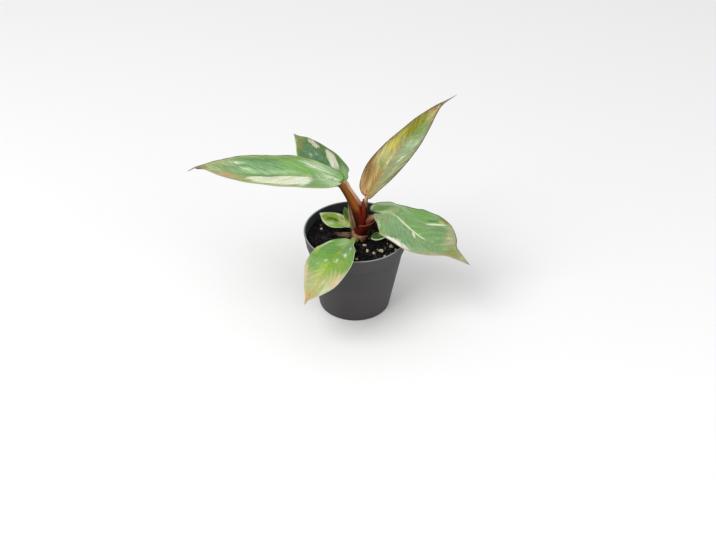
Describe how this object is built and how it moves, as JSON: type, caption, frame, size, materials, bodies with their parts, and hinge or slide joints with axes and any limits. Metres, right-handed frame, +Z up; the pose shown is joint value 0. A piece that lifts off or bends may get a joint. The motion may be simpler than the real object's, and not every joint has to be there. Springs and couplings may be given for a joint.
{
  "type": "potted pink princess philodendron",
  "caption": "Young pink princess philodendron in a round nursery pot: long variegated leaves on bowed stalks round a short red stem in dark potting mix.",
  "frame": {"origin": "middle of the pot's foot, on the surface that the pot stands on", "axes": "+Z up along the pot's axis, -Y towards the front, +X to the right seen from the front"},
  "size_m": [0.1676, 0.0857, 0.1427],
  "materials": {
    "pot_plastic": "thin moulded grower's pot, charcoal grey, matt with a faint sheen",
    "potting_mix": "dark brown-black bark and peat mix, matt and crumbly",
    "mineral_granule": "pale beige porous mineral granules, matt",
    "stem": "smooth deep red-brown stem, soft gloss",
    "leaf": "smooth green blade with cream, pink and bronze variegation and a fine dark red-brown margin, satin",
    "young_leaf": "rolled young leaf, red-brown, satin",
    "sheath": "pale pinkish beige sheath leaf, thin and papery, matt",
    "dry_sheath": "withered brown sheath leaf, wrinkled, matt"
  },
  "bodies": {
    "root": {"pot": "pot_plastic", "potting_mix": "potting_mix", "granule_1": "mineral_granule", "granule_2": "mineral_granule", "granule_3": "mineral_granule", "granule_4": "mineral_granule", "granule_5": "mineral_granule", "granule_6": "mineral_granule", "granule_7": "mineral_granule", "granule_8": "mineral_granule", "granule_9": "mineral_granule", "granule_10": "mineral_granule", "granule_11": "mineral_granule", "stem": "stem", "leaf_long_left": "leaf", "leaf_back_left": "leaf", "leaf_upright_right": "leaf", "leaf_heart_right": "leaf", "leaf_front_left": "leaf", "leaf_small_left": "leaf", "leaf_bud_behind": "leaf", "leaf_small_right": "leaf", "new_leaf_spear": "young_leaf", "sheath_pale": "sheath", "sheath_dried": "dry_sheath"}
  },
  "joints": []
}
